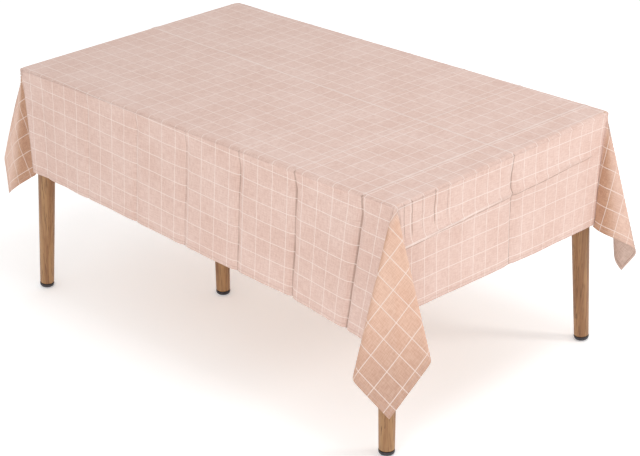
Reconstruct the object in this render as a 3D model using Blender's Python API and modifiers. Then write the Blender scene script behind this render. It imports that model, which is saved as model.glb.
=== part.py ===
"""Rectangular dining table on five turned, tapered legs, dressed with a printed tablecloth.

Metres, +Z up. The origin is on the floor under the middle of the table, +X runs along the
table's length, and the near long side is at -Y. The cloth is one loose sheet that lies on the
table top, hangs over its four sides and folds into a flap at each corner.
"""

import math

import bmesh
import bpy
from mathutils import Vector

# Driving dimensions of the table
TOP_LENGTH = 1.500
TOP_WIDTH = 0.900
TOP_THICKNESS = 0.022
TOP_HEIGHT = 0.728
TOP_CORNER_RADIUS = 0.012
TOP_CORNER_SEGMENTS = 4
TOP_EDGE_ROUND = 0.002

# Legs: where the corner feet stand, and how far in from there the legs meet the plates
FOOT_X = 0.722
FOOT_Y = 0.437
LEG_SPLAY = 0.033
SUPPORT_FOOT = (-0.274, -0.090)
LEG_BOTTOM_RADIUS = 0.022
LEG_TOP_RADIUS = 0.030
LEG_END_CHAMFER = 0.0025
LEG_SIDES = 20

# Foot caps under the legs
CAP_HEIGHT = 0.014
CAP_RADIUS = 0.0225
CAP_DOME_HEIGHT = 0.0091
CAP_DOME_STEPS = 4
CAP_FLAT_RADIUS = 0.010
CAP_RECESS_RADIUS = 0.0050
CAP_RECESS_DEPTH = 0.005
CAP_SCREW_RADIUS = 0.0020
CAP_SCREW_HEAD_RADIUS = 0.0042
CAP_SCREW_HEAD_HEIGHT = 0.0022
CAP_SCREW_LENGTH = 0.030
CAP_SCREW_POINT = 0.005

# Steel plates that hold the legs under the top
PLATE_SIZE = 0.080
PLATE_THICKNESS = 0.003
PLATE_CORNER_RADIUS = 0.010
PLATE_CORNER_SEGMENTS = 2
BOSS_RADIUS = 0.012
BOSS_HEIGHT = 0.012
BOSS_IN_PLATE = 0.0015
BOSS_SIDES = 16
BOLT_RADIUS = 0.005
BOLT_IN_LEG = 0.035
BOLT_BELOW_TOP = 0.003
BOLT_POINT = 0.004
BOLT_POINT_RADIUS = 0.002
BOLT_CHAMFER = 0.001
PLATE_SCREW_SPACING = 0.060
PLATE_SCREW_RADIUS = 0.0020
PLATE_SCREW_HEAD_RADIUS = 0.0040
PLATE_SCREW_HEAD_HEIGHT = 0.0020
PLATE_SCREW_LENGTH = 0.014
PLATE_SCREW_POINT = 0.003
SCREW_SIDES = 8
SCREW_POINT_SHARE = 0.3
SCREW_HEAD_END_SHARE = 0.6

# The cloth: cut size, and how it was laid: moved along X and Y and turned a little
CLOTH_LENGTH = 2.050
CLOTH_WIDTH = 1.600
CLOTH_THICKNESS = 0.0015
CLOTH_SHIFT_X = 0.045
CLOTH_SHIFT_Y = -0.007
CLOTH_SKEW = math.radians(2.2)
CLOTH_STANDOFF = 0.002
CLOTH_EDGE_RADIUS = 0.004
DROP_FLARE = 0.018
DROP_FLARE_POWER = 1.5

# Corner flaps: where the cloth folds, how far its two folds stand out from the corner and apart
# from its middle, and how far its tip stands out
FLAP_FOLD_ANGLE = math.radians(30.0)
FLAP_OUT = 0.105
FLAP_SPREAD = 0.085
FLAP_TIP_OUT = 0.150
CORNER_COLUMNS = 5
LONG_SIDE_SEGMENTS = 12
SHORT_SIDE_SEGMENTS = 8
DROP_STEPS = (0.16, 0.37, 0.58, 0.79, 1.0)

# The gap between touching pieces, how far a cutter runs past what it cuts, and round shapes
GAP = 0.0003
CUT_PAST = 0.002
FLOOR_CUT_DEPTH = 0.1
ROUND_SIDES = 10
TINY = 0.0001


def clear_scene():
    for obj in list(bpy.data.objects):
        bpy.data.objects.remove(obj, do_unlink=True)


def new_collection(name, hidden=False):
    collection = bpy.data.collections.new(name)
    collection.hide_render = hidden
    bpy.context.scene.collection.children.link(collection)
    return collection


def new_material(name, colour, roughness, metallic=0.0):
    material = bpy.data.materials.new(name)
    material.use_nodes = True
    shader = material.node_tree.nodes["Principled BSDF"]
    shader.inputs["Base Color"].default_value = (*colour, 1.0)
    shader.inputs["Roughness"].default_value = roughness
    shader.inputs["Metallic"].default_value = metallic
    return material


def add_object(name, mesh, collection, material=None, parent=None):
    obj = bpy.data.objects.new(name, mesh)
    collection.objects.link(obj)
    if material is not None:
        mesh.materials.append(material)
    obj.parent = parent
    return obj


def add_empty(name, location, collection):
    empty = bpy.data.objects.new(name, None)
    empty.location = location
    collection.objects.link(empty)
    return empty


def cutter(obj):
    obj.hide_render = True
    obj.display_type = "WIRE"
    return obj


def cut(obj, tool, operation="DIFFERENCE"):
    modifier = obj.modifiers.new(tool.name, "BOOLEAN")
    modifier.object = tool
    modifier.operation = operation
    modifier.solver = "EXACT"


def turned(name, profile, collection, material=None, parent=None, sides=ROUND_SIDES):
    """A solid turned about Z from (radius, z) points that run down its outer side."""
    mesh = bpy.data.meshes.new(name)
    points = [(radius, 0.0, z) for radius, z in profile]
    edges = [(i, i + 1) for i in range(len(points) - 1)]
    mesh.from_pydata(points, edges, [])
    obj = add_object(name, mesh, collection, material, parent)
    screw = obj.modifiers.new("turn", "SCREW")
    screw.steps = sides
    screw.render_steps = sides
    screw.use_merge_vertices = True
    screw.merge_threshold = TINY
    screw.use_normal_calculate = False
    return obj


def box_mesh(name, size):
    mesh = bpy.data.meshes.new(name)
    shape = bmesh.new()
    bmesh.ops.create_cube(shape, size=1.0)
    bmesh.ops.scale(shape, vec=Vector(size), verts=shape.verts)
    shape.to_mesh(mesh)
    shape.free()
    return mesh


def rounded_slab(name, size, corner_radius, segments, collection, material):
    """A slab with its four upright corners rounded."""
    mesh = box_mesh(name, size)
    shape = bmesh.new()
    shape.from_mesh(mesh)
    upright = [e for e in shape.edges if abs(e.verts[0].co.z - e.verts[1].co.z) > TINY]
    bmesh.ops.bevel(
        shape,
        geom=upright,
        offset=corner_radius,
        segments=segments,
        profile=0.5,
        affect="EDGES",
        material=-1,
    )
    shape.to_mesh(mesh)
    shape.free()
    return add_object(name, mesh, collection, material)


def make_table_top(collection, material):
    size = (TOP_LENGTH, TOP_WIDTH, TOP_THICKNESS)
    top = rounded_slab(
        "table_top", size, TOP_CORNER_RADIUS, TOP_CORNER_SEGMENTS, collection, material
    )
    top.location = (0.0, 0.0, TOP_HEIGHT - TOP_THICKNESS / 2)
    bevel = top.modifiers.new("edge_round", "BEVEL")
    bevel.width = TOP_EDGE_ROUND
    bevel.segments = 1
    bevel.limit_method = "ANGLE"
    bevel.angle_limit = math.radians(60.0)
    return top


def leg_stations():
    """Name, foot position on the floor and inward lean of each leg."""
    stations = []
    for end, sx in (("left", -1), ("right", 1)):
        for side, sy in (("near", -1), ("far", 1)):
            foot = (sx * FOOT_X, sy * FOOT_Y)
            lean = (-sx * LEG_SPLAY, -sy * LEG_SPLAY)
            stations.append((f"{side}_{end}", foot, lean))
    stations.append(("support", SUPPORT_FOOT, (0.0, 0.0)))
    return stations


def plate_bottom():
    """The height of the plates' undersides."""
    return TOP_HEIGHT - TOP_THICKNESS - GAP - PLATE_THICKNESS


def leg_length(tilt):
    """Along the leg's own axis, from the floor to the leg's top end under the boss."""
    return (plate_bottom() - BOSS_HEIGHT) / math.cos(tilt) - GAP


def make_leg(name, axis, tilt, materials, parts, cutters):
    bottom = CAP_HEIGHT + GAP
    top = leg_length(tilt)
    chamfer = LEG_END_CHAMFER
    profile = (
        (0.0, top),
        (LEG_TOP_RADIUS - chamfer, top),
        (LEG_TOP_RADIUS, top - chamfer),
        (LEG_BOTTOM_RADIUS, bottom + chamfer),
        (LEG_BOTTOM_RADIUS - chamfer, bottom),
        (0.0, bottom),
    )
    leg = turned(f"leg_{name}", profile, parts, materials["wood"], axis, LEG_SIDES)
    hole = BOLT_RADIUS + GAP
    depth = top - BOLT_IN_LEG - GAP
    bore = turned(
        f"cut_bolt_bore_{name}",
        ((0.0, top + chamfer), (hole, top + chamfer), (hole, depth), (0.0, depth)),
        cutters,
        parent=axis,
    )
    cut(leg, cutter(bore))
    hole = CAP_SCREW_RADIUS + GAP
    depth = CAP_RECESS_DEPTH + CAP_SCREW_LENGTH + GAP
    bore = turned(
        f"cut_screw_bore_{name}",
        ((0.0, depth), (hole, depth), (hole, 0.0), (0.0, 0.0)),
        cutters,
        parent=axis,
    )
    cut(leg, cutter(bore))
    return leg


def screw_profile(tip, seat, shank, point, head, head_height):
    """A pan-head screw that points up: its head hangs below the seat."""
    return (
        (0.0, tip),
        (shank * SCREW_POINT_SHARE, tip),
        (shank, tip - point),
        (shank, seat),
        (head, seat),
        (head, seat - head_height / 2),
        (head * SCREW_HEAD_END_SHARE, seat - head_height),
        (0.0, seat - head_height),
    )


def make_foot_cap(name, axis, floor_cutter, materials, parts, cutters):
    """A domed cap, cut flat by the floor, with a stepped hole for its screw."""
    dome = []
    for i in range(CAP_DOME_STEPS):
        turn = math.radians(90.0) * i / CAP_DOME_STEPS
        radius = CAP_FLAT_RADIUS + (CAP_RADIUS - CAP_FLAT_RADIUS) * math.cos(turn)
        dome.append((radius, CAP_DOME_HEIGHT * (1.0 - math.sin(turn))))
    below = -2 * CUT_PAST
    profile = [(0.0, CAP_HEIGHT), (CAP_RADIUS, CAP_HEIGHT), *dome]
    profile += [(CAP_FLAT_RADIUS, 0.0), (CAP_FLAT_RADIUS, below), (0.0, below)]
    cap = turned(f"foot_cap_{name}", profile, parts, materials["cap"], axis, LEG_SIDES)
    wide = CAP_RECESS_RADIUS
    narrow = CAP_SCREW_RADIUS + GAP
    over = CAP_HEIGHT + CUT_PAST
    hole = turned(
        f"cut_cap_hole_{name}",
        (
            (0.0, over),
            (narrow, over),
            (narrow, CAP_RECESS_DEPTH),
            (wide, CAP_RECESS_DEPTH),
            (wide, below - CUT_PAST),
            (0.0, below - CUT_PAST),
        ),
        cutters,
        parent=axis,
    )
    cut(cap, cutter(hole))
    cut(cap, floor_cutter)
    screw = screw_profile(
        CAP_RECESS_DEPTH + CAP_SCREW_LENGTH,
        CAP_RECESS_DEPTH - GAP,
        CAP_SCREW_RADIUS,
        CAP_SCREW_POINT,
        CAP_SCREW_HEAD_RADIUS,
        CAP_SCREW_HEAD_HEIGHT,
    )
    turned(f"foot_screw_{name}", screw, parts, materials["steel"], axis)
    return cap


def make_bolt(name, axis, tilt, materials, parts):
    """The hanger bolt: its lower half in the leg, its upper half in the plate's boss."""
    start = leg_length(tilt) - BOLT_IN_LEG
    end = (plate_bottom() + PLATE_THICKNESS) / math.cos(tilt) - BOLT_BELOW_TOP
    profile = (
        (0.0, end),
        (BOLT_RADIUS - BOLT_CHAMFER, end),
        (BOLT_RADIUS, end - BOLT_CHAMFER),
        (BOLT_RADIUS, start + BOLT_POINT),
        (BOLT_POINT_RADIUS, start),
        (0.0, start),
    )
    return turned(f"hanger_bolt_{name}", profile, parts, materials["steel"], axis)


def plate_centre(foot, lean):
    """Where the leg's axis passes through the plate."""
    reach = (plate_bottom() + PLATE_THICKNESS / 2) / plate_bottom()
    return foot[0] + lean[0] * reach, foot[1] + lean[1] * reach


def screw_places(centre):
    half = PLATE_SCREW_SPACING / 2
    return [(centre[0] + i * half, centre[1] + j * half) for i in (-1, 1) for j in (-1, 1)]


def make_plate(name, axis, tilt, centre, materials, parts, cutters):
    size = (PLATE_SIZE, PLATE_SIZE, PLATE_THICKNESS)
    plate = rounded_slab(
        f"leg_plate_{name}",
        size,
        PLATE_CORNER_RADIUS,
        PLATE_CORNER_SEGMENTS,
        parts,
        materials["steel"],
    )
    plate.location = (*centre, plate_bottom() + PLATE_THICKNESS / 2)
    low = leg_length(tilt) + GAP
    high = plate_bottom() / math.cos(tilt) + BOSS_IN_PLATE
    boss = turned(
        f"join_boss_{name}",
        ((0.0, high), (BOSS_RADIUS, high), (BOSS_RADIUS, low), (0.0, low)),
        cutters,
        parent=axis,
        sides=BOSS_SIDES,
    )
    cut(plate, cutter(boss), "UNION")
    hole = BOLT_RADIUS + GAP
    over = high + 2 * PLATE_THICKNESS
    under = low - CUT_PAST
    bore = turned(
        f"cut_plate_bore_{name}",
        ((0.0, over), (hole, over), (hole, under), (0.0, under)),
        cutters,
        parent=axis,
    )
    cut(plate, cutter(bore))
    return plate


def make_plate_screws(name, centre, top, plate, materials, parts, cutters):
    """Four screws up through the plate into blind pilot holes in the top."""
    under = plate_bottom()
    tip = under + PLATE_SCREW_LENGTH
    profile = screw_profile(
        tip,
        under - GAP,
        PLATE_SCREW_RADIUS,
        PLATE_SCREW_POINT,
        PLATE_SCREW_HEAD_RADIUS,
        PLATE_SCREW_HEAD_HEIGHT,
    )
    hole = PLATE_SCREW_RADIUS + GAP
    hole_profile = (
        (0.0, tip + GAP),
        (hole, tip + GAP),
        (hole, under - CUT_PAST),
        (0.0, under - CUT_PAST),
    )
    for i, place in enumerate(screw_places(centre), start=1):
        label = f"{name}_{i}"
        screw = turned(
            f"plate_screw_{label}", profile, parts, materials["steel"], sides=SCREW_SIDES
        )
        screw.location = (*place, 0.0)
        bore = turned(f"cut_pilot_{label}", hole_profile, cutters, sides=SCREW_SIDES)
        bore.location = (*place, 0.0)
        cutter(bore)
        cut(plate, bore)
        cut(top, bore)


def drop_at(side, along):
    """How far the cloth reaches past the top's edge, measured in its own plane.

    side is the outward direction of that edge, along the position on it.
    """
    turn = math.tan(CLOTH_SKEW)
    if side[1]:
        reach = CLOTH_WIDTH / 2 + side[1] * CLOTH_SHIFT_Y - TOP_WIDTH / 2
        return reach - side[1] * turn * along
    reach = CLOTH_LENGTH / 2 + side[0] * CLOTH_SHIFT_X - TOP_LENGTH / 2
    return reach + side[0] * turn * along


def side_column(point, side, depth):
    """Points down one hanging line of a drop, from the fold at the top's edge to the hem."""
    out = Vector((*side, 0.0))
    column = []
    for step in DROP_STEPS:
        flare = DROP_FLARE * step**DROP_FLARE_POWER
        fall = math.sqrt(depth * depth * step * step - flare * flare)
        column.append(point + out * flare - Vector((0.0, 0.0, fall)))
    return column


def flap_column(point, across, reach):
    """Points down one straight fold of a corner flap, from the top's corner to the hem."""
    fall = math.sqrt(reach * reach - across.length_squared)
    end = point + across - Vector((0.0, 0.0, fall))
    return [point.lerp(end, step) for step in DROP_STEPS]


def corner_angles():
    """Where round a corner its columns start, from the long side to the short side."""
    return [math.radians(90.0) * i / (CORNER_COLUMNS - 1) for i in range(CORNER_COLUMNS)]


def corner_columns(sx, sy, place):
    """The five columns of one corner, from the long side round to the short side.

    They are the end of the long drop, the flap's first fold, its tip, its second fold and
    the end of the short drop. place(angle) is a point on the rounded corner.
    """
    long_drop = drop_at((0, sy), sx * TOP_LENGTH / 2)
    short_drop = drop_at((sx, 0), sy * TOP_WIDTH / 2)
    diagonal = Vector((sx, sy, 0.0)).normalized()
    to_long = Vector((-sx, sy, 0.0)).normalized()
    first = diagonal * FLAP_OUT + to_long * FLAP_SPREAD
    second = diagonal * FLAP_OUT - to_long * FLAP_SPREAD
    angles = corner_angles()
    slant = math.cos(FLAP_FOLD_ANGLE)
    tip_reach = math.hypot(long_drop, short_drop)
    return [
        side_column(place(angles[0]), (0, sy), long_drop),
        flap_column(place(angles[1]), first, long_drop / slant),
        flap_column(place(angles[2]), diagonal * FLAP_TIP_OUT, tip_reach),
        flap_column(place(angles[3]), second, short_drop / slant),
        side_column(place(angles[4]), (sx, 0), short_drop),
    ]


def cloth_columns():
    """Every hanging line of the cloth, anticlockwise from the near left corner's long drop.

    Each is the point on the flat top, the points round the edge, then the points of the drop.
    """
    radius = TOP_CORNER_RADIUS + CLOTH_STANDOFF
    half_x = TOP_LENGTH / 2 + CLOTH_STANDOFF
    half_y = TOP_WIDTH / 2 + CLOTH_STANDOFF
    under = TOP_HEIGHT + GAP
    fold = under - CLOTH_EDGE_RADIUS
    columns = []

    def add(column, edge, outward):
        start = edge - outward * CLOTH_EDGE_RADIUS
        columns.append([Vector((start.x, start.y, under)), edge, *column])

    def corner_place(sx, sy):
        centre = Vector((sx * (half_x - radius), sy * (half_y - radius), fold))

        def place(angle):
            out = Vector((sx * math.sin(angle), sy * math.cos(angle), 0.0))
            return centre + out * radius

        return place, centre

    def add_corner(sx, sy, backwards):
        place, centre = corner_place(sx, sy)
        corner = corner_columns(sx, sy, place)
        found = list(zip(corner_angles(), corner))
        for angle, column in reversed(found) if backwards else found:
            edge = place(angle)
            add(column, edge, (edge - centre).normalized())

    def add_side(side, start, end, segments):
        out = Vector((*side, 0.0))
        for i in range(1, segments):
            edge = start.lerp(end, i / segments)
            along = edge.x if side[1] else edge.y
            add(side_column(edge, side, drop_at(side, along)), edge, out)

    x_line = half_x - radius
    y_line = half_y - radius
    add_corner(-1, -1, True)
    near = (Vector((-x_line, -half_y, fold)), Vector((x_line, -half_y, fold)))
    add_side((0, -1), *near, LONG_SIDE_SEGMENTS)
    add_corner(1, -1, False)
    right = (Vector((half_x, -y_line, fold)), Vector((half_x, y_line, fold)))
    add_side((1, 0), *right, SHORT_SIDE_SEGMENTS)
    add_corner(1, 1, True)
    far = (Vector((x_line, half_y, fold)), Vector((-x_line, half_y, fold)))
    add_side((0, 1), *far, LONG_SIDE_SEGMENTS)
    add_corner(-1, 1, False)
    left = (Vector((-half_x, y_line, fold)), Vector((-half_x, -y_line, fold)))
    add_side((-1, 0), *left, SHORT_SIDE_SEGMENTS)
    return columns


def make_tablecloth(collection, material):
    """The cloth's underside lofted from its hanging lines, then thickened outwards."""
    shape = bmesh.new()
    rows = [[shape.verts.new(point) for point in column] for column in cloth_columns()]
    count = len(rows)
    for i, column in enumerate(rows):
        after = rows[(i + 1) % count]
        for j in range(len(column) - 1):
            shape.faces.new((column[j], column[j + 1], after[j + 1], after[j]))
    shape.faces.new([column[0] for column in rows])
    mesh = bpy.data.meshes.new("tablecloth")
    shape.normal_update()
    shape.to_mesh(mesh)
    shape.free()
    cloth = add_object("tablecloth", mesh, collection, material)
    solidify = cloth.modifiers.new("thickness", "SOLIDIFY")
    solidify.thickness = CLOTH_THICKNESS
    solidify.offset = 1.0
    solidify.use_even_offset = False
    return cloth


def smooth_round_parts(collection):
    for obj in collection.objects:
        if obj.type == "MESH" and any(m.type == "SCREW" for m in obj.modifiers):
            obj.modifiers["turn"].use_smooth_shade = True


def main():
    clear_scene()
    parts = new_collection("table_with_tablecloth")
    cutters = new_collection("cutters", hidden=True)
    materials = {
        "board": new_material("beech_faced_board", (0.72, 0.52, 0.34), 0.45),
        "wood": new_material("turned_beech", (0.62, 0.40, 0.23), 0.45),
        "cap": new_material("black_cap", (0.015, 0.013, 0.014), 0.5),
        "steel": new_material("zinc_steel", (0.55, 0.55, 0.56), 0.35, 1.0),
        "cloth": new_material("printed_cloth", (0.82, 0.60, 0.50), 0.55),
    }
    top = make_table_top(parts, materials["board"])
    floor_mesh = box_mesh("cut_floor", (2 * TOP_LENGTH, 2 * TOP_WIDTH, FLOOR_CUT_DEPTH))
    floor_cutter = cutter(add_object("cut_floor", floor_mesh, cutters))
    floor_cutter.location = (0.0, 0.0, -FLOOR_CUT_DEPTH / 2)
    for name, foot, lean in leg_stations():
        axis = add_empty(f"axis_{name}", (*foot, 0.0), parts)
        direction = Vector((*lean, plate_bottom()))
        axis.rotation_mode = "QUATERNION"
        axis.rotation_quaternion = Vector((0.0, 0.0, 1.0)).rotation_difference(direction)
        tilt = Vector((0.0, 0.0, 1.0)).angle(direction)
        make_leg(name, axis, tilt, materials, parts, cutters)
        make_foot_cap(name, axis, floor_cutter, materials, parts, cutters)
        make_bolt(name, axis, tilt, materials, parts)
        centre = plate_centre(foot, lean)
        plate = make_plate(name, axis, tilt, centre, materials, parts, cutters)
        make_plate_screws(name, centre, top, plate, materials, parts, cutters)
    make_tablecloth(parts, materials["cloth"])
    smooth_round_parts(parts)


main()
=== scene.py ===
"""The dressed dining table: a draped printed cloth, and finishes for the table's own parts."""

import math

import bmesh
import bpy
import numpy as np
from mathutils import Matrix, Vector, noise


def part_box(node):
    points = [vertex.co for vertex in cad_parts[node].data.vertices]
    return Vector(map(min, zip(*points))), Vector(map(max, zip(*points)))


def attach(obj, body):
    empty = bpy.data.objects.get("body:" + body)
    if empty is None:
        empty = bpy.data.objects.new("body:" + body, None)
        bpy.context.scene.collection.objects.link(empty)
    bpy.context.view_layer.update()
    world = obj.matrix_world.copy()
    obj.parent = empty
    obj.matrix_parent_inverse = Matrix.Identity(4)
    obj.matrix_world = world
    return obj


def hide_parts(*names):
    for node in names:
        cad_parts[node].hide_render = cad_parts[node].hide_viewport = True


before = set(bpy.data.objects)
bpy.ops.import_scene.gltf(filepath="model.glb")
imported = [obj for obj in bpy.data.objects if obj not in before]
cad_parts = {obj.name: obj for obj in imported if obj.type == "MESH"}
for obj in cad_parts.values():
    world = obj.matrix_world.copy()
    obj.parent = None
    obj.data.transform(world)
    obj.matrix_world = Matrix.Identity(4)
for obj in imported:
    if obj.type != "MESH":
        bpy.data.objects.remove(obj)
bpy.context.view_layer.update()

top_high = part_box("table_top")[1]

# Lengths are in metres. The cloth's cut, and how it was laid on the top: moved along X and Y,
# and turned a little
CLOTH_LENGTH = 2.050
CLOTH_WIDTH = 1.600
CLOTH_SHIFT_X = 0.045
CLOTH_SHIFT_Y = -0.007
CLOTH_SKEW = math.radians(2.2)
CLOTH_THICKNESS = 0.0007
TOP_CLEARANCE = 0.0006

# Where the cloth turns down: it stands off the top's edge a little and bends round a small radius
EDGE_STANDOFF = 0.0015
EDGE_BEND = 0.005
CORNER_RADIUS = 0.011

# Cells of the mesh: along and across the top, and down the drops, which are finest at the edge
TOP_CELL_X = 0.0072
TOP_CELL_Y = 0.0160
EDGE_CELL = 0.0038
DROP_CELL = 0.0075
CELL_GROWTH = 1.07
BEND_CELLS = 2
HEM_WIDTH = 0.012
HEM_CELLS = 2
USUAL_DROPS = {"left": 0.24, "right": 0.33, "near": 0.37, "far": 0.36}

# The drops lean out a little, and within LEAN_FADE of a corner they turn into its flap
DROP_LEAN = 0.035
LEAN_FADE = 0.40

# One corner flap each: (degrees of cloth from the long drop, out past the long side, out past
# the short side), the last two for one metre of fall. They run from the long drop to the short.
FLAPS = {
    "near_right": (
        (0, 0.14, -0.10), (5, 0.18, -0.08), (21.5, 0.415, 0.045), (23.5, 0.43, 0.07),
        (38, 0.33, 0.31), (53, 0.13, 0.465), (55, 0.10, 0.44), (76, -0.05, 0.03),
        (80, -0.06, 0.015), (90, -0.06, 0.04),
    ),
    "near_left": (
        (0, 0.05, -0.13), (15, -0.01, -0.10), (19, -0.01, -0.08), (27, 0.05, 0.00),
        (31, 0.09, 0.04), (38, 0.11, 0.12), (56, 0.14, 0.24), (60, 0.10, 0.27),
        (74, -0.12, 0.30), (85, -0.09, 0.06), (90, -0.06, 0.035),
    ),
    "far_right": (
        (0, 0.05, -0.10), (20, 0.38, -0.17), (25, 0.42, -0.15), (46, 0.03, 0.12),
        (50, 0.03, 0.18), (56, 0.09, 0.27), (59, 0.08, 0.26), (74, -0.08, 0.12),
        (78, -0.10, 0.06), (83, -0.11, 0.015), (90, -0.10, 0.03),
    ),
    "far_left": (
        (0, 0.06, -0.02), (6, 0.08, 0.00), (24, 0.40, 0.03), (27, 0.42, 0.06), (42, 0.30, 0.30),
        (60, 0.06, 0.42), (63, 0.03, 0.40), (84, -0.02, 0.05), (90, -0.04, 0.04),
    ),
}
CORNER_SIGNS = {
    "near_left": (-1, -1), "near_right": (1, -1), "far_left": (-1, 1), "far_right": (1, 1),
}
# How far cloth on the bias stretches down the middle of each flap
BIAS_STRETCH = {"near_right": 0.075, "near_left": 0.03, "far_right": 0.04, "far_left": 0.04}
FOLD_SOFTNESS = 1.1
FOLD_SAMPLES = 361

# Creases from the pack, as places on the flat cut: across its length with each one's depth,
# one along its length, and the sharp ridge along the right end's drop with the pleats above it
CROSS_FOLDS = (
    (-0.675, 0.003), (-0.465, 0.005), (-0.2475, 0.006), (-0.040, 0.008), (0.1725, 0.010),
    (0.380, 0.012), (0.615, 0.015),
)
DEEPEST_FOLD = max(depth for place, depth in CROSS_FOLDS)
CREASE_WIDTH = 0.0085
CREASE_START = 0.018
CREASE_FADE = 0.04
CREASE_CROOK = 0.006
CREASE_CROOK_LENGTH = 0.15
LONG_FOLD = 0.055
LONG_FOLD_DEPTH = 0.009
END_RIDGE = 0.821
END_RIDGE_SLOPE = 0.052
END_RIDGE_HEIGHT = 0.010
END_RIDGE_WIDTH = 0.0065
END_RIDGE_REACH = 0.44
END_RIDGE_SHADE = 0.0065
PLEATS = ((-0.385, 0.004), (-0.355, 0.005), (-0.315, 0.003), (-0.265, 0.005), (-0.215, 0.003))
DEEPEST_PLEAT = max(depth for place, depth in PLEATS)
PLEAT_WIDTH = 0.0055
TOP_CREASE_HEIGHT = 0.0022
TOP_CREASE_WIDTH = 0.006

# Soft hollows of the drops between the creases, and the hem's slow wave
RIPPLE_HEIGHT = 0.0035
RIPPLE_SPACING = 0.065
RIPPLE_LENGTH = 0.40
HEM_WAVE = 0.012
HEM_WAVE_SPACING = 0.23
RIPPLE_END = math.radians(8.0)

# Settling under its own weight, with the drops held softly to where they were hung
SETTLE_FRAMES = 24
SETTLE_LIMIT = 0.012
DROP_HOLD = 0.12
SHELF_MARGIN = 0.0002
CLOTH_FEEL = {
    "quality": 5,
    "mass": 0.0006,
    "tension_stiffness": 30.0,
    "compression_stiffness": 12.0,
    "shear_stiffness": 6.0,
    "bending_stiffness": 0.01,
    "air_damping": 3.0,
    "pin_stiffness": 1.0,
}

# The print: a thin off-white check on peach-pink, with its pitch along and across the cloth
CHECK_LONG = 0.0543
CHECK_ACROSS = 0.0515
CHECK_LONG_PHASE = 0.50
CHECK_ACROSS_PHASE = 0.0
CHECK_LINE = 0.0019
CHECK_BLUR = 0.0007
THREAD_SPACING = 0.0022
WAVE_PITCH = math.pi / 10
STITCH_IN = 0.0100
STITCH_LENGTH = 0.0035
STITCH_WIDTH = 0.0013
# Painted light along the creases and the ridge: the width of the painted lines, how they widen on the
# deepest creases, how the ridge's painted highlight fades past its near half, and where the pleats'
# painted shade starts on the right end
CREASE_LINE = 0.0035
LEAST_FOLD_WIDTH = 0.6
FOLD_WIDTH_GAIN = 1.2
CREST_BLEND = 0.12
PLEAT_START = 0.70
PLEAT_BLEND = 0.02

# Painted light in the corners: warm painted bounce light on the flaps, and painted shade in the valleys
# beside them and on the near right flap's tip. They blend over these lengths. The painted shade beside
# the flaps starts at an angle of cloth, in degrees, from a flap's middle: each pair is for the left and
# right end
TOP_BLEND = 0.005
FLAP_BLEND = 0.03
FRONT_BLEND = 0.05
FRONT_TIP_START = 0.30
FRONT_TIP_END = 0.66
FRONT_TIP_SHADE_STRENGTH = 0.75
FOLD_SHADE_MIDDLE = (53, 45)
FOLD_SHADE_START = (12, 18)
FOLD_SHADE_BLEND = 13
FOLD_SHADE_ENDS = 0.70

# The hem's folded strip, below the cloth
HEM_GAP = 0.0002
HEM_THICKNESS = 0.0006

# Lights: name, place, size across, power and colour
WORLD_STRENGTH = 0.74
COVE_GLOW = 0.30
LIGHT_TARGET = Vector((0.0, 0.0, 0.4))
LIGHTS = (
    ("key_right", (3.2, 2.2, 2.2), 0.8, 32.0, "FFFAF6"),
    ("fill_near", (1.3, -2.8, 1.6), 1.2, 11.0, "FFFFFF"),
    ("above", (1.3, 0.0, 4.0), 1.4, 30.0, "F2F8FF"),
)

CAMERA_PLACE = Vector((3.2342, -3.3092, 2.4183))
CAMERA_AHEAD = Vector((-0.6282, 0.6555, -0.4192))
CAMERA_RIGHT = Vector((0.7233, 0.6905, -0.0042))
CAMERA_LENS = 95.1
CAMERA_SENSOR = 36.0
FLOOR_SIZE = 30.0

# A length that counts as none
NOTHING = 1e-9

half_top = Vector((top_high.x, top_high.y))
edge_start = half_top + Vector((EDGE_STANDOFF - EDGE_BEND, EDGE_STANDOFF - EDGE_BEND))
flat_reach = CORNER_RADIUS - EDGE_BEND
inner = edge_start - Vector((flat_reach, flat_reach))
level = top_high.z + TOP_CLEARANCE


# The cloth's shape ----------------------------------------------------------------------------


def skewed(u, v):
    """From a place on the flat cloth to the table's own x and y."""
    turn_x, turn_y = math.cos(CLOTH_SKEW), math.sin(CLOTH_SKEW)
    return CLOTH_SHIFT_X + u * turn_x + v * turn_y, CLOTH_SHIFT_Y - u * turn_y + v * turn_x


def unskewed(x, y):
    """The other way: where a point of the laid cloth lies on the flat cut."""
    turn_x, turn_y = math.cos(CLOTH_SKEW), math.sin(CLOTH_SKEW)
    x, y = x - CLOTH_SHIFT_X, y - CLOTH_SHIFT_Y
    return x * turn_x - y * turn_y, x * turn_y + y * turn_x


def hem_x(side, y):
    """The end hem's x on the line y, before the cloth hangs."""
    middle = side * CLOTH_LENGTH / 2 / math.cos(CLOTH_SKEW)
    return CLOTH_SHIFT_X + middle + math.tan(CLOTH_SKEW) * (y - CLOTH_SHIFT_Y)


def hem_y(side, x):
    """The long hem's y on the line x, before the cloth hangs."""
    middle = side * CLOTH_WIDTH / 2 / math.cos(CLOTH_SKEW)
    return CLOTH_SHIFT_Y + middle - math.tan(CLOTH_SKEW) * (x - CLOTH_SHIFT_X)


def drop_lines(drop):
    """Grid lines down one drop, from 0 at the top's edge to 1 at the hem."""
    bend = EDGE_BEND * math.pi / 2
    lines = [bend * i / BEND_CELLS for i in range(BEND_CELLS + 1)]
    cell = EDGE_CELL
    while lines[-1] + cell < drop - HEM_WIDTH:
        lines.append(lines[-1] + cell)
        cell = min(cell * CELL_GROWTH, DROP_CELL)
    lines += [drop - HEM_WIDTH * i / HEM_CELLS for i in range(HEM_CELLS, -1, -1)]
    return np.array(lines) / drop


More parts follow.
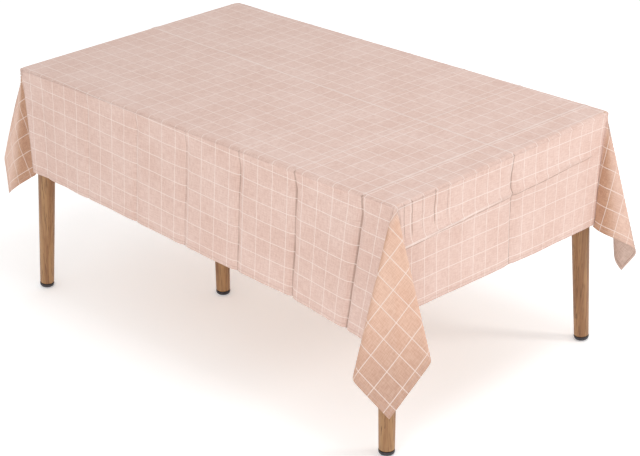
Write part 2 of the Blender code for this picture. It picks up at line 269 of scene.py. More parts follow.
def stations(half, cell, low_drop, high_drop):
    """Grid lines across one direction: -2 to -1 is one drop, -1 to 1 the top, 1 to 2 the other."""
    middle = np.linspace(-1.0, 1.0, round(2 * half / cell), endpoint=False)[1:]
    low, high = drop_lines(low_drop), drop_lines(high_drop)
    return np.concatenate([-1.0 - low[::-1], middle, 1.0 + high])


def flat_place(s, t):
    """The laid place of grid point (s, t) while the cloth is still flat."""
    side_x, side_y = math.copysign(1.0, s), math.copysign(1.0, t)
    over_s, over_t = max(0.0, abs(s) - 1.0), max(0.0, abs(t) - 1.0)
    x = max(-1.0, min(1.0, s)) * edge_start.x
    y = max(-1.0, min(1.0, t)) * edge_start.y
    corner = Vector((x, y))
    end = Vector((hem_x(side_x, y), y))
    side = Vector((x, hem_y(side_y, x)))
    tip = Vector(skewed(side_x * CLOTH_LENGTH / 2, side_y * CLOTH_WIDTH / 2))
    if over_s and over_t:
        return corner.lerp(end, over_s).lerp(side.lerp(tip, over_s), over_t)
    if over_s:
        return corner.lerp(end, over_s)
    return corner.lerp(side, over_t)


def flap_directions(points):
    """Directions of the hanging lines round one corner, softened, for each step of cloth angle."""
    angles = np.linspace(0.0, 90.0, FOLD_SAMPLES)
    step = angles[1]
    reach = int(4 * FOLD_SOFTNESS / step)
    kernel = np.exp(-0.5 * (np.arange(-reach, reach + 1) * step / FOLD_SOFTNESS) ** 2)
    kernel /= kernel.sum()
    given = np.array(points, float)
    columns = []
    for column in (1, 2):
        values = np.interp(angles, given[:, 0], given[:, column])
        before = 2 * values[0] - values[reach:0:-1]
        after = 2 * values[-1] - values[-2:-reach - 2:-1]
        soft = np.convolve(np.concatenate([before, values, after]), kernel, mode="valid")
        columns.append(soft)
    return np.stack(columns, axis=1)


flap_lines = {CORNER_SIGNS[name]: flap_directions(points) for name, points in FLAPS.items()}
flap_stretch = {CORNER_SIGNS[name]: share for name, share in BIAS_STRETCH.items()}


def flap_line(signs, turn):
    """The hanging line at this angle of cloth from the long side, for one metre of fall."""
    place = turn / (math.pi / 2) * (FOLD_SAMPLES - 1)
    low = min(int(place), FOLD_SAMPLES - 2)
    first, second = flap_lines[signs][low:low + 2]
    past_side, past_end = first + (second - first) * (place - low)
    return Vector((signs[0] * past_end, signs[1] * past_side, -1.0))


def side_line(x, y, side):
    """A drop's hanging line, which turns into the flaps' own first and last lines at its ends."""
    along, half = (x, half_top.x) if side[1] else (y, half_top.y)
    turn = 0.0 if side[1] else math.pi / 2
    plain = Vector((side[0] * DROP_LEAN, side[1] * DROP_LEAN, -1.0))
    line = plain.copy()
    for end in (-1, 1):
        signs = (end, side[1]) if side[1] else (side[0], end)
        share = max(0.0, 1.0 - (half - end * along) / LEAN_FADE) ** 2
        line += (flap_line(signs, turn) - plain) * share
    return line


def ripple(along, fall, side):
    """How far a drop's soft hollows and the hem's slow wave take it from its plain hanging line."""
    seed = 3.0 * side[0] + 7.0 * side[1]
    soft = noise.noise(Vector((along / RIPPLE_SPACING, fall / RIPPLE_LENGTH, seed)))
    wave = noise.noise(Vector((along / HEM_WAVE_SPACING, seed, 4.0)))
    fade = min(1.0, fall / CREASE_FADE)
    return RIPPLE_HEIGHT * fade * soft + HEM_WAVE * fall / USUAL_DROPS["near"] * wave


def hang(place):
    """Where a point of the laid flat cloth goes once its overhang has turned down."""
    x, y = place
    nearest = Vector((max(-inner.x, min(inner.x, x)), max(-inner.y, min(inner.y, y))))
    out = Vector(place) - nearest
    if out.length <= flat_reach:
        return Vector((x, y, level))
    signs = (1 if x > 0 else -1, 1 if y > 0 else -1)
    heading = out.normalized()
    over = out.length - flat_reach
    bent = min(over, EDGE_BEND * math.pi / 2)
    fall = over - bent
    mark = 0.0
    stretch = 1.0
    if min(abs(out.x), abs(out.y)) < NOTHING:
        side = (0, signs[1]) if abs(out.x) < NOTHING else (signs[0], 0)
        line = side_line(x, y, side)
        mark = ripple(x if side[1] else y, fall, side)
    else:
        turn = math.atan2(abs(out.x), abs(out.y))
        line = flap_line(signs, turn)
        stretch += flap_stretch[signs] * math.sin(2 * turn)
        edge = min(turn, math.pi / 2 - turn) / RIPPLE_END
        if edge < 1.0:
            side = (0, signs[1]) if turn < math.pi / 4 else (signs[0], 0)
            mark = (1.0 - edge) * ripple(nearest.x if side[1] else nearest.y, fall, side)
    angle = bent / EDGE_BEND
    flat_out = heading.to_3d()
    start = Vector((*nearest, level)) + flat_out * (flat_reach + EDGE_BEND * math.sin(angle))
    start.z -= EDGE_BEND * (1.0 - math.cos(angle))
    return start + line.normalized() * fall * stretch + flat_out * mark


def link(name, shape):
    """Makes an object from a bmesh, at the origin."""
    mesh = bpy.data.meshes.new(name)
    shape.to_mesh(mesh)
    shape.free()
    made = bpy.data.objects.new(name, mesh)
    bpy.context.scene.collection.objects.link(made)
    return made


def make_cloth_sheet():
    """A grid laid in the table's own directions, with its place on the flat cut as its UV map."""
    lines_s = stations(edge_start.x, TOP_CELL_X, USUAL_DROPS["left"], USUAL_DROPS["right"])
    lines_t = stations(edge_start.y, TOP_CELL_Y, USUAL_DROPS["near"], USUAL_DROPS["far"])
    last_s, last_t = len(lines_s) - 1, len(lines_t) - 1
    shape = bmesh.new()
    bmesh.ops.create_grid(shape, x_segments=last_s, y_segments=last_t, size=1.0)
    flat = shape.loops.layers.uv.new("flat_cloth")
    places = {}
    for vert in shape.verts:
        i = round((vert.co.x + 1.0) / 2.0 * last_s)
        j = round((vert.co.y + 1.0) / 2.0 * last_t)
        places[vert] = flat_place(lines_s[i], lines_t[j])
    for face in shape.faces:
        for loop in face.loops:
            loop[flat].uv = unskewed(*places[loop.vert])
    for vert in shape.verts:
        vert.co = hang(places[vert])
    cloth = link("draped_cloth", shape)
    cloth.data.shade_smooth()
    return cloth


def points_of(mesh):
    """The places of a mesh's vertices, one to a row."""
    found = np.empty(len(mesh.vertices) * 3)
    mesh.vertices.foreach_get("co", found)
    return found.reshape(-1, 3)


def make_shelf():
    """A block as wide as the table top, for the settling cloth to lie on. It is removed afterwards."""
    shape = bmesh.new()
    bmesh.ops.create_cube(shape, size=1.0)
    size = Vector((2 * half_top.x, 2 * half_top.y, top_high.z))
    bmesh.ops.scale(shape, vec=size, verts=shape.verts)
    bmesh.ops.translate(shape, vec=(0.0, 0.0, size.z / 2), verts=shape.verts)
    shelf = link("shelf", shape)
    shelf.modifiers.new("solid", "COLLISION")
    shelf.collision.thickness_outer = SHELF_MARGIN
    return shelf


def settle(cloth):
    """Lets the hung cloth sag under its weight, held firmly on the top and softly below it."""
    start = points_of(cloth.data)
    held = cloth.vertex_groups.new(name="held")
    on_top = start[:, 2] > level - EDGE_BEND
    held.add([int(i) for i in np.flatnonzero(on_top)], 1.0, "REPLACE")
    held.add([int(i) for i in np.flatnonzero(~on_top)], DROP_HOLD, "REPLACE")
    shelf = make_shelf()
    modifier = cloth.modifiers.new("settle", "CLOTH")
    modifier.settings.vertex_group_mass = "held"
    for name, value in CLOTH_FEEL.items():
        setattr(modifier.settings, name, value)
    modifier.collision_settings.distance_min = 2 * SHELF_MARGIN
    modifier.point_cache.frame_start = 1
    modifier.point_cache.frame_end = SETTLE_FRAMES
    scene = bpy.context.scene
    for number in range(1, SETTLE_FRAMES + 1):
        scene.frame_set(number)
    graph = bpy.context.evaluated_depsgraph_get()
    end = points_of(cloth.evaluated_get(graph).data)
    cloth.modifiers.remove(modifier)
    cloth.vertex_groups.clear()
    bpy.data.objects.remove(shelf)
    scene.frame_set(1)
    move = end - start
    length = np.maximum(np.linalg.norm(move, axis=1), NOTHING)
    move *= np.minimum(1.0, SETTLE_LIMIT / length)[:, None]
    cloth.data.vertices.foreach_set("co", (start + move).ravel())
    cloth.data.update()


def crease(distance, width):
    """A fold's profile: 1 on its line, with a sharp crest and soft feet."""
    return math.exp(-abs(distance) / width)


def wander(a, b, seed):
    """How far a crease strays from its straight line here."""
    return CREASE_CROOK * noise.noise(Vector((a / CREASE_CROOK_LENGTH, b, seed)))


def fold_height(u, v, fall):
    """How far the pack's creases stand proud of the settled cloth at this place, or into it."""
    x, y = skewed(u, v)
    over_x, over_y = abs(x) > half_top.x, abs(y) > half_top.y
    fade = max(0.0, min(1.0, (fall - CREASE_START) / CREASE_FADE))
    if over_x and over_y:
        return 0.0
    if over_y:
        place = u + wander(v, 0.0, 1.0)
        return -fade * sum(depth * crease(place - at, CREASE_WIDTH) for at, depth in CROSS_FOLDS)
    if over_x:
        height = -LONG_FOLD_DEPTH * crease(v + wander(u, 0.0, 2.0) - LONG_FOLD, CREASE_WIDTH)
        if u > 0.0:
            ends = max(0.0, min(1.0, (END_RIDGE_REACH - abs(v)) / CREASE_FADE))
            away = u + END_RIDGE_SLOPE * v + wander(v, 0.0, 3.0) / 2 - END_RIDGE
            height += END_RIDGE_HEIGHT * ends * crease(away, END_RIDGE_WIDTH)
            above = max(0.0, min(1.0, -away / CREASE_FADE))
            place = v + wander(u, 0.0, 5.0) / 2
            height -= above * sum(depth * crease(place - at, PLEAT_WIDTH) for at, depth in PLEATS)
        return fade * height
    ridge = crease(v + wander(u, 0.0, 2.0) - LONG_FOLD, TOP_CREASE_WIDTH)
    for at, depth in CROSS_FOLDS:
        line = crease(u + wander(v, 0.0, 1.0) - at, TOP_CREASE_WIDTH)
        ridge = max(ridge, depth / DEEPEST_FOLD * line)
    return TOP_CREASE_HEIGHT * ridge


def press_folds(cloth):
    """Presses the creases into the cloth along its own surface's direction."""
    mesh = cloth.data
    points = points_of(mesh)
    outward = np.array([item.vector for item in mesh.vertex_normals])
    corners = np.array([loop.vertex_index for loop in mesh.loops])
    flat = np.zeros((len(points), 2))
    flat[corners] = np.array([item.uv for item in mesh.uv_layers["flat_cloth"].data])
    height = [fold_height(u, v, level - point[2]) for (u, v), point in zip(flat, points)]
    points += outward * np.array(height)[:, None]
    mesh.vertices.foreach_set("co", points.ravel())
    mesh.update()


def make_hem(cloth):
    """The narrow strip that is folded under along all four edges and stitched down."""
    shape = bmesh.new()
    shape.from_mesh(cloth.data)
    flat = shape.loops.layers.uv.active
    inside = [face for face in shape.faces if not all(in_hem(loop[flat].uv) for loop in face.loops)]
    bmesh.ops.delete(shape, geom=inside, context="FACES")
    shape.normal_update()
    for vert in shape.verts:
        vert.co -= vert.normal * (CLOTH_THICKNESS + HEM_GAP)
    hem = link("folded_hem", shape)
    hem.data.shade_smooth()
    return hem


def in_hem(place):
    """Whether a point of the flat cut lies in the strip that the hem covers."""
    reach = HEM_WIDTH + HEM_GAP
    return abs(place.x) > CLOTH_LENGTH / 2 - reach or abs(place.y) > CLOTH_WIDTH / 2 - reach


# Finishes -------------------------------------------------------------------------------------

MATH = "ShaderNodeMath"
MIX = "ShaderNodeMix"
NOISE = "ShaderNodeTexNoise"
RANGE = "ShaderNodeMapRange"
SMOOTH = {"interpolation_type": "SMOOTHSTEP"}
COLOUR = {"data_type": "RGBA"}


def linear(code):
    """A colour written as sRGB hex, as the linear red, green, blue and alpha that shaders take."""
    found = []
    for i in (0, 2, 4):
        value = int(code[i:i + 2], 16) / 255
        found.append(value / 12.92 if value <= 0.04045 else ((value + 0.055) / 1.055) ** 2.4)
    return (*found, 1.0)


def node(tree, kind, inputs=None, output=None, **settings):
    """Adds one node with its settings, sets or links its inputs, and gives one of its outputs."""
    made = tree.nodes.new(kind)
    for name, value in settings.items():
        setattr(made, name, value)
    for name, value in (inputs or {}).items():
        if isinstance(value, bpy.types.NodeSocket):
            tree.links.new(value, made.inputs[name])
        else:
            made.inputs[name].default_value = linear(value) if isinstance(value, str) else value
    if output:
        return made.outputs[output]
    return next(socket for socket in made.outputs if socket.enabled)


def new_finish(name, settings):
    """A material with only a Principled shader, its plain values set on the shader's sockets."""
    material = bpy.data.materials.new(name)
    material.use_nodes = True
    tree = material.node_tree
    shader = tree.nodes["Principled BSDF"]
    for socket, value in settings.items():
        shader.inputs[socket].default_value = value
    return material, tree, shader


def lay_on(tree, shader, colour, height, depth, strength, roughness=None):
    """Links a finish's colour, bump and roughness to its shader."""
    tree.links.new(colour, shader.inputs["Base Color"])
    bump = node(tree, "ShaderNodeBump", {"Strength": strength, "Distance": depth, "Height": height})
    tree.links.new(bump, shader.inputs["Normal"])
    if roughness is not None:
        tree.links.new(roughness, shader.inputs["Roughness"])


def line_at(tree, place, at, width, strength=1.0):
    """A soft line across the cloth, at its full strength where place is at and gone a width away."""
    offset = node(tree, MATH, {0: place, 1: -at}, operation="ADD")
    away = node(tree, MATH, {0: offset}, operation="ABSOLUTE")
    return node(tree, RANGE, {
        "Value": away, "From Min": width, "From Max": 0.0, "To Max": strength,
    }, **SMOOTH)


def check_lines(tree, place, pitch, phase):
    """1 on the printed lines that cross one direction of the flat cloth."""
    count = node(tree, MATH, {0: place, 1: 1.0 / pitch, 2: phase}, operation="MULTIPLY_ADD")
    away = node(tree, MATH, {0: count, 1: 0.5}, operation="PINGPONG")
    return node(tree, RANGE, {
        "Value": away,
        "From Min": (CHECK_LINE / 2 + CHECK_BLUR) / pitch,
        "From Max": (CHECK_LINE / 2 - CHECK_BLUR) / pitch,
    }, **SMOOTH)


def thread_waves(tree, flat):
    """Crossed threads. Real ones lie 0.7 mm apart; these are drawn 2.2 mm apart so that they show."""
    waves = []
    for direction in "XY":
        waves.append(node(tree, "ShaderNodeTexWave", {
            "Vector": flat, "Scale": WAVE_PITCH / THREAD_SPACING, "Distortion": 0.8, "Detail": 1.0,
        }, bands_direction=direction))
    return node(tree, MATH, {0: waves[0], 1: waves[1]}, operation="ADD")


def heather(tree, flat, scale):
    """Uneven yarns: streaks that run along the cloth, crossed by streaks that run across it. They
    are drawn about 2.5 mm wide, because single yarns of 0.7 mm wouldn't show."""
    streaks = []
    for stretch in ((1.0, 0.10, 1.0), (0.10, 1.0, 1.0)):
        drawn = node(tree, "ShaderNodeMapping", {"Vector": flat, "Scale": stretch})
        streaks.append(node(tree, NOISE, {
            "Vector": drawn, "Scale": scale, "Detail": 2.0, "Roughness": 0.6,
        }))
    both = node(tree, MATH, {0: streaks[0], 1: streaks[1]}, operation="ADD")
    return node(tree, RANGE, {"Value": both, "From Min": 0.75, "From Max": 1.25}, **SMOOTH)


def painted_crease_light(tree, along, across):
    """Painted light along the pack's creases, widest and strongest on the deepest creases: shade on the
    drops, a highlight on the top.
    """
    lines = line_at(tree, across, LONG_FOLD, CREASE_LINE)
    for place, depth in CROSS_FOLDS:
        share = depth / DEEPEST_FOLD
        width = CREASE_LINE * (LEAST_FOLD_WIDTH + FOLD_WIDTH_GAIN * share)
        line = line_at(tree, along, place, width, share)
        lines = node(tree, MATH, {0: lines, 1: line}, operation="MAXIMUM")
    return lines


def painted_ridge_light(tree, along, across):
    """Painted light on the right end's ridge: a painted highlight along its crest on its near half, and
    painted shade in a line under it and along the pleats above it."""
    level_along = node(tree, MATH, {
        0: across, 1: END_RIDGE_SLOPE, 2: along,
    }, operation="MULTIPLY_ADD")
    off_middle = node(tree, MATH, {0: across}, operation="ABSOLUTE")
    reach = node(tree, RANGE, {
        "Value": off_middle, "From Min": END_RIDGE_REACH, "From Max": END_RIDGE_REACH - CREASE_FADE,
    }, **SMOOTH)
    near_half = node(tree, RANGE, {
        "Value": across, "From Min": CREST_BLEND, "From Max": -CREST_BLEND,
    }, **SMOOTH)
    # Painted highlight along the ridge's crest, on its near half
    crest = line_at(tree, level_along, END_RIDGE, CREASE_LINE)
    crest = node(tree, MATH, {0: crest, 1: near_half}, operation="MULTIPLY")
    crest = node(tree, MATH, {0: crest, 1: reach}, operation="MULTIPLY")
    # Painted shadow in a line under the ridge, and painted shade in the pleats above it
    dark = line_at(tree, level_along, END_RIDGE + END_RIDGE_SHADE, CREASE_LINE)
    dark = node(tree, MATH, {0: dark, 1: reach}, operation="MULTIPLY")
    above = node(tree, RANGE, {
        "Value": level_along, "From Min": END_RIDGE, "From Max": END_RIDGE - CREASE_FADE,
    }, **SMOOTH)
    on_drop = node(tree, RANGE, {
        "Value": along, "From Min": PLEAT_START, "From Max": PLEAT_START + PLEAT_BLEND,
    }, **SMOOTH)
    pleated = node(tree, MATH, {0: above, 1: on_drop}, operation="MULTIPLY")
    for place, depth in PLEATS:
        line = line_at(tree, across, place, CREASE_LINE, depth / DEEPEST_PLEAT)
        line = node(tree, MATH, {0: line, 1: pleated}, operation="MULTIPLY")
        dark = node(tree, MATH, {0: dark, 1: line}, operation="MAXIMUM")
    return crest, dark


def laid_parts(tree, flat, along):
    """Where the cloth lies on the table, as masks: the top, and where painted light goes: the corner
    flaps with warm painted bounce light, the valleys next to them with painted shade, the near right
    one of the flaps with warmer painted bounce light, and that one's lower part with painted shade."""
    laid = node(tree, "ShaderNodeMapping", {
        "Vector": flat, "Location": (CLOTH_SHIFT_X, CLOTH_SHIFT_Y, 0.0),
        "Rotation": (0.0, 0.0, -CLOTH_SKEW),
    })
    x, y = (node(tree, "ShaderNodeSeparateXYZ", {0: laid}, output=axis) for axis in "XY")
    over = []
    for place, half in ((x, half_top.x), (y, half_top.y)):
        away = node(tree, MATH, {0: place}, operation="ABSOLUTE")
        over.append(node(tree, MATH, {0: away, 1: half}, operation="SUBTRACT"))
    over_any = node(tree, MATH, {0: over[0], 1: over[1]}, operation="MAXIMUM")
    on_top = node(tree, RANGE, {
        "Value": over_any, "From Min": TOP_BLEND, "From Max": -TOP_BLEND,
    }, **SMOOTH)
    over_both = node(tree, MATH, {0: over[0], 1: over[1]}, operation="MINIMUM")
    # The flaps' mask, which also carries their warm painted bounce light
    flap_painted_light = node(tree, RANGE, {"Value": over_both, "From Max": FLAP_BLEND}, **SMOOTH)

    # Painted shade in the valleys beside each flap, set by the angle of cloth round its corner
    turn = node(tree, MATH, {0: over[0], 1: over[1]}, operation="ARCTAN2")
    middle, start = (
        node(tree, RANGE, {
            "Value": along, "From Min": -FOLD_SHADE_ENDS, "From Max": FOLD_SHADE_ENDS,
            "To Min": math.radians(left), "To Max": math.radians(right),
        }, **SMOOTH)
        for left, right in (FOLD_SHADE_MIDDLE, FOLD_SHADE_START)
    )
    aside = node(tree, MATH, {0: turn, 1: middle}, operation="SUBTRACT")
    aside = node(tree, MATH, {0: aside}, operation="ABSOLUTE")
    end = node(tree, MATH, {0: start, 1: math.radians(FOLD_SHADE_BLEND)}, operation="ADD")
    aside = node(tree, RANGE, {"Value": aside, "From Min": start, "From Max": end}, **SMOOTH)
    fold_painted_shade = node(tree, MATH, {0: flap_painted_light, 1: aside}, operation="MULTIPLY")

    # Warmer painted bounce light on the near right flap, and painted shade on its lower part
    towards_front = node(tree, MATH, {0: x, 1: y}, operation="SUBTRACT")
    corner = half_top.x + half_top.y
    near_right = node(tree, RANGE, {
        "Value": towards_front, "From Min": corner - FRONT_BLEND, "From Max": corner + FRONT_BLEND,
    }, **SMOOTH)
    front_flap_painted_light = node(tree, MATH, {0: flap_painted_light, 1: near_right}, operation="MULTIPLY")
    reach = node(tree, MATH, {0: over[0], 1: over[1]}, operation="ADD")
    low_down = node(tree, RANGE, {
        "Value": reach, "From Min": FRONT_TIP_START, "From Max": FRONT_TIP_END,
        "To Max": FRONT_TIP_SHADE_STRENGTH,
    }, **SMOOTH)
    front_tip_painted_shade = node(tree, MATH, {0: front_flap_painted_light, 1: low_down}, operation="MULTIPLY")
    return on_top, flap_painted_light, fold_painted_shade, front_flap_painted_light, front_tip_painted_shade


def hem_stitches(tree, along, across):
    """The seam that holds the hem down, all round the cloth, and the single stitches along it."""
    sides = []
    for place, cut in ((along, CLOTH_LENGTH), (across, CLOTH_WIDTH)):
        away = node(tree, MATH, {0: place}, operation="ABSOLUTE")
        away = node(tree, MATH, {0: away, 1: STITCH_IN - cut / 2}, operation="ADD")
        sides.append(node(tree, MATH, {0: away}, operation="ABSOLUTE"))
    seam = node(tree, MATH, {0: sides[0], 1: sides[1]}, operation="MINIMUM")
    seam = node(tree, RANGE, {
        "Value": seam, "From Min": STITCH_WIDTH, "From Max": STITCH_WIDTH / 2,
    }, **SMOOTH)
    run = node(tree, MATH, {0: along, 1: across}, operation="ADD")
    run = node(tree, MATH, {0: run, 1: STITCH_LENGTH / 2}, operation="PINGPONG")
    thread = node(tree, RANGE, {
        "Value": run, "From Min": STITCH_LENGTH * 0.08, "From Max": STITCH_LENGTH * 0.16,
        "To Min": 0.2, "To Max": 0.7,
    }, **SMOOTH)
    return seam, node(tree, MATH, {0: seam, 1: thread}, operation="MULTIPLY")


def printed_cloth():
    """Coated woven polyester, printed: a soft low gloss, a heathered cross weave and flat ink lines.
    Its clouds of tone are about 140 mm across, and its crumples 35 mm. It also carries painted light:
    painted shade and highlights along its creases and ridge, and painted bounce light and shade in its
    corners."""
    material, tree, shader = new_finish("printed_coated_cloth_painted_light", {
        "Roughness": 0.46,
        "Specular IOR Level": 0.40,
        "Sheen Weight": 0.06,
        "Sheen Roughness": 0.5,
    })
    flat = node(tree, "ShaderNodeUVMap", uv_map="flat_cloth")
    along, across = (
        node(tree, "ShaderNodeSeparateXYZ", {0: flat}, output=axis) for axis in "XY"
    )
    # Painted shade and painted highlights along the creases, the right end's ridge and its pleats
    crease_dents_and_painted_light = painted_crease_light(tree, along, across)
    crest, painted_ridge_and_pleat_shade = painted_ridge_light(tree, along, across)
    crease_dents_and_painted_light = node(tree, MATH, {0: crease_dents_and_painted_light, 1: painted_ridge_and_pleat_shade}, operation="MAXIMUM")
    checks = node(tree, MATH, {
        0: check_lines(tree, along, CHECK_LONG, CHECK_LONG_PHASE),
        1: check_lines(tree, across, CHECK_ACROSS, CHECK_ACROSS_PHASE),
    }, operation="MAXIMUM")
    on_top, flap_painted_light, fold_painted_shade, front_flap_painted_light, front_tip_painted_shade = laid_parts(tree, flat, along)

    # The ground colour, with painted light in the corners: warm painted bounce light on the flaps,
    # warmer on the near right one, and painted shade in the valleys beside the flaps and on the near
    # right flap's lower part
    yarn = heather(tree, flat, 420.0)
    ground = node(tree, MIX, {"Factor": yarn, "A": "D7B6A9", "B": "E5C9BD"}, **COLOUR)
    for part, dark, light in (
        (flap_painted_light, "D9B5A3", "E7C7B6"), (front_flap_painted_light, "DAAF97", "E8C2AC"),
        (front_tip_painted_shade, "B68E7A", "C6A28E"), (fold_painted_shade, "B3876C", "C79C80"),
    ):
        tone = node(tree, MIX, {"Factor": yarn, "A": dark, "B": light}, **COLOUR)
        ground = node(tree, MIX, {"Factor": part, "A": ground, "B": tone}, **COLOUR)
    cloud = node(tree, NOISE, {"Vector": flat, "Scale": 7.0, "Detail": 3.0})
    cloud = node(tree, RANGE, {"Value": cloud, "From Min": 0.35, "From Max": 0.65}, **SMOOTH)
    patchy = node(tree, MIX, {"Factor": cloud, "A": "FAF6F4", "B": "FFFFFF"}, **COLOUR)
    ground = node(tree, MIX, {
        "Factor": 1.0, "A": ground, "B": patchy,
    }, blend_type="MULTIPLY", **COLOUR)

    # Painted light on the creases: painted shade on the drops, a painted highlight on the top, and a
    # painted highlight on the right end's ridge. The ink and the stitches lie over them
    painted_crease_highlight = node(tree, MATH, {0: crease_dents_and_painted_light, 1: on_top}, operation="MULTIPLY")
    dark = node(tree, MATH, {0: crease_dents_and_painted_light, 1: painted_crease_highlight}, operation="SUBTRACT")
    seam, stitches = hem_stitches(tree, along, across)
    colour = ground
    for mark, low, high, strength, tone in (
        (dark, 0.15, 0.9, 0.62, "937464"), (painted_crease_highlight, 0.15, 1.0, 0.45, "F6E8E0"),
        (crest, 0.0, 1.0, 0.6, "F6E6DE"), (checks, 0.0, 1.0, 0.75, "F4E4DC"),
    ):
        mark = node(tree, RANGE, {
            "Value": mark, "From Min": low, "From Max": high, "To Max": strength,
        }, **SMOOTH)
        colour = node(tree, MIX, {"Factor": mark, "A": colour, "B": tone}, **COLOUR)
    colour = node(tree, MIX, {"Factor": stitches, "A": colour, "B": "C7A698"}, **COLOUR)

    crumple = node(tree, NOISE, {
        "Vector": flat, "Scale": 28.0, "Detail": 3.0, "Roughness": 0.55,
    })
    height = checks
    for layer, share in ((thread_waves(tree, flat), 0.25), (crumple, 7.0), (crease_dents_and_painted_light, -3.0), (seam, -1.0)):
        height = node(tree, MATH, {0: layer, 1: share, 2: height}, operation="MULTIPLY_ADD")
    lay_on(tree, shader, colour, height, 0.0006, 0.45)
    return material


def cloth_back():
    """The cloth's unprinted back: a plain, greyer weave with no gloss."""
    material, tree, shader = new_finish("plain_cloth_back", {
        "Roughness": 0.8, "Specular IOR Level": 0.25, "Sheen Weight": 0.15,
    })
    flat = node(tree, "ShaderNodeUVMap", uv_map="flat_cloth")
    yarn = heather(tree, flat, 380.0)
    colour = node(tree, MIX, {"Factor": yarn, "A": "C3A697", "B": "D6BCAF"}, **COLOUR)
    lay_on(tree, shader, colour, thread_waves(tree, flat), 0.0005, 0.4)
    return material


def lacquered_beech(name, stretch, dark, middle, light, roughness=0.45):
    """Beech under satin lacquer: soft bands of grain 18 mm wide and dark flecks, both drawn out
    along the grain. The flecks are 3 mm wide, where real ones are under 1 mm and wouldn't show."""
    material, tree, shader = new_finish(name, {
        "Specular IOR Level": 0.45, "Coat Weight": 0.12, "Coat Roughness": 0.3,
    })
    place = node(tree, "ShaderNodeTexCoord", output="Object")
    drawn = node(tree, "ShaderNodeMapping", {"Vector": place, "Scale": stretch})
    grain = node(tree, NOISE, {
        "Vector": drawn, "Scale": 55.0, "Detail": 4.0, "Roughness": 0.62, "Distortion": 0.6,
    })
    fleck = node(tree, NOISE, {
        "Vector": drawn, "Scale": 330.0, "Detail": 2.0, "Roughness": 0.7,
    })
    grain = node(tree, RANGE, {"Value": grain, "From Min": 0.38, "From Max": 0.62}, **SMOOTH)
    ground = node(tree, MIX, {"Factor": grain, "A": middle, "B": light}, **COLOUR)
    pores = node(tree, RANGE, {
        "Value": fleck, "From Min": 0.56, "From Max": 0.68, "To Max": 0.75,
    }, **SMOOTH)
    colour = node(tree, MIX, {"Factor": pores, "A": ground, "B": dark}, **COLOUR)
    rough = node(tree, RANGE, {
        "Value": pores, "To Min": roughness, "To Max": roughness + 0.2,
    }, **SMOOTH)
    lay_on(tree, shader, colour, fleck, 0.0004, 0.3, rough)
    return material


def moulded_cap():
    """Moulded black polypropylene: fine spark-eroded grain and a soft gloss, with scuffs 8 mm
    across. The grain is drawn 1 mm across, where the real one of 0.1 mm wouldn't show."""
    material, tree, shader = new_finish("moulded_black_polypropylene", {"Specular IOR Level": 0.5})
    place = node(tree, "ShaderNodeTexCoord", output="Object")
    grit = node(tree, NOISE, {"Vector": place, "Scale": 900.0, "Detail": 3.0})
    scuff = node(tree, NOISE, {"Vector": place, "Scale": 120.0, "Detail": 2.0})
    tone = node(tree, RANGE, {"Value": scuff, "From Min": 0.3, "From Max": 0.7}, **SMOOTH)
    colour = node(tree, MIX, {"Factor": tone, "A": "242024", "B": "38333A"}, **COLOUR)
    rough = node(tree, RANGE, {
        "Value": scuff, "From Min": 0.3, "From Max": 0.7, "To Min": 0.28, "To Max": 0.45,
    }, **SMOOTH)
    lay_on(tree, shader, colour, grit, 0.0003, 0.15, rough)
    return material


def zinc_steel():
    """Pressed steel, zinc plated: bright grey with a faint cloudy spangle, 4 mm across, and rolling
    marks 1.5 mm wide."""
    material, tree, shader = new_finish("zinc_plated_steel", {"Metallic": 1.0})
    place = node(tree, "ShaderNodeTexCoord", output="Object")
    spangle = node(tree, "ShaderNodeTexVoronoi", {"Vector": place, "Scale": 260.0})
    spangle = node(tree, RANGE, {"Value": spangle, "From Min": 0.1, "From Max": 0.7}, **SMOOTH)
    colour = node(tree, MIX, {"Factor": spangle, "A": "A9ABAE", "B": "C6C8CA"}, **COLOUR)
    drawn = node(tree, "ShaderNodeMapping", {"Vector": place, "Scale": (1.0, 0.05, 1.0)})
    rolled = node(tree, NOISE, {"Vector": drawn, "Scale": 700.0, "Detail": 3.0})
    rough = node(tree, RANGE, {
        "Value": rolled, "From Min": 0.3, "From Max": 0.7, "To Min": 0.28, "To Max": 0.48,
    }, **SMOOTH)
    lay_on(tree, shader, colour, rolled, 0.0002, 0.1, rough)
    return material


def cove_paint():
    """Matt emulsion on a studio cove: near white, with a trace of roller texture, 17 mm across."""
    material, tree, shader = new_finish("white_cove_paint", {
        "Roughness": 0.9, "Specular IOR Level": 0.1,
        "Emission Color": linear("FFFFFF"), "Emission Strength": COVE_GLOW,
    })
    place = node(tree, "ShaderNodeTexCoord", output="Object")
    roller = node(tree, NOISE, {"Vector": place, "Scale": 60.0})
    colour = node(tree, MIX, {"Factor": roller, "A": "FCFCFC", "B": "FFFFFF"}, **COLOUR)
    lay_on(tree, shader, colour, roller, 0.0005, 0.05)
    return material


def dress(node_name, material):
    """Gives one of the table's own parts its finish."""
    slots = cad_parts[node_name].data.materials
    slots.clear()
    slots.append(material)


# Studio ---------------------------------------------------------------------------------------


def make_camera():
    """A long lens, which looks down on the near right corner."""
    data = bpy.data.cameras.new("camera")
    data.lens = CAMERA_LENS
    data.sensor_width = CAMERA_SENSOR
    camera = bpy.data.objects.new("camera", data)
    back = -CAMERA_AHEAD.normalized()
    up = back.cross(CAMERA_RIGHT).normalized()
    turn = Matrix((up.cross(back), up, back)).transposed().to_4x4()
    camera.matrix_world = Matrix.Translation(CAMERA_PLACE) @ turn
    bpy.context.scene.collection.objects.link(camera)
    bpy.context.scene.camera = camera


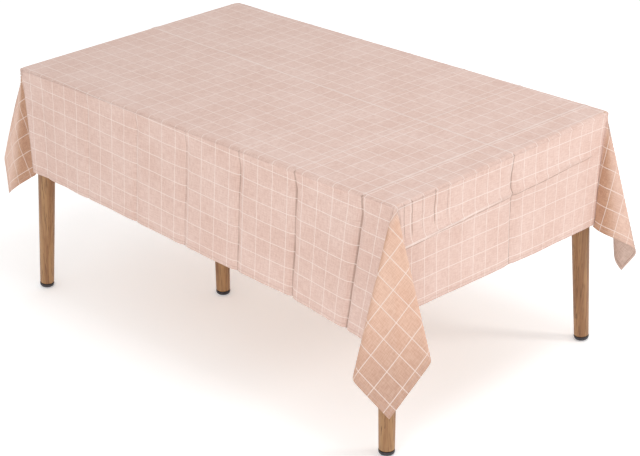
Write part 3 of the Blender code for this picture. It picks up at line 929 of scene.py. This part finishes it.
def make_area_light(name, place, size, power, colour):
    """A round soft light that faces the table."""
    data = bpy.data.lights.new(name, "AREA")
    data.shape = "DISK"
    data.size = size
    data.energy = power
    data.color = linear(colour)[:3]
    light = bpy.data.objects.new(name, data)
    light.location = place
    light.rotation_euler = (LIGHT_TARGET - Vector(place)).to_track_quat("-Z", "Y").to_euler()
    bpy.context.scene.collection.objects.link(light)


def make_studio():
    """A white floor that glows faintly, an even white sky and the lamps."""
    shape = bmesh.new()
    bmesh.ops.create_grid(shape, x_segments=2, y_segments=2, size=FLOOR_SIZE / 2)
    floor = link("floor", shape)
    floor.data.materials.append(cove_paint())
    world = bpy.data.worlds.new("white_room")
    world.use_nodes = True
    sky = world.node_tree.nodes["Background"]
    sky.inputs["Color"].default_value = linear("FFFFFF")
    sky.inputs["Strength"].default_value = WORLD_STRENGTH
    bpy.context.scene.world = world
    bpy.context.scene.view_settings.view_transform = "Standard"
    for light in LIGHTS:
        make_area_light(*light)


# The object -----------------------------------------------------------------------------------

make_camera()
cloth = make_cloth_sheet()
settle(cloth)
press_folds(cloth)
hem = make_hem(cloth)
print_side, back_side = printed_cloth(), cloth_back()
for piece, finishes, wall in (
    (cloth, (print_side, back_side), CLOTH_THICKNESS), (hem, (back_side,), HEM_THICKNESS),
):
    for finish in finishes:
        piece.data.materials.append(finish)
    thickness = piece.modifiers.new("thickness", "SOLIDIFY")
    thickness.thickness = wall
    thickness.offset = -1.0
    thickness.material_offset = len(finishes) - 1
    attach(piece, "tablecloth")
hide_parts("tablecloth")

wood = lacquered_beech("turned_beech", (1.0, 1.0, 0.045), "5F3F26", "90643F", "AC8257")
board = lacquered_beech("beech_veneer", (0.045, 1.0, 1.0), "8E6440", "BE9168", "D2A980", 0.38)
black = moulded_cap()
steel = zinc_steel()
for node_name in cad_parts:
    if node_name.startswith("leg_plate") or "_screw_" in node_name or "_bolt_" in node_name:
        dress(node_name, steel)
    elif node_name.startswith("leg_"):
        dress(node_name, wood)
    elif node_name.startswith("foot_cap"):
        dress(node_name, black)
dress("table_top", board)
make_studio()
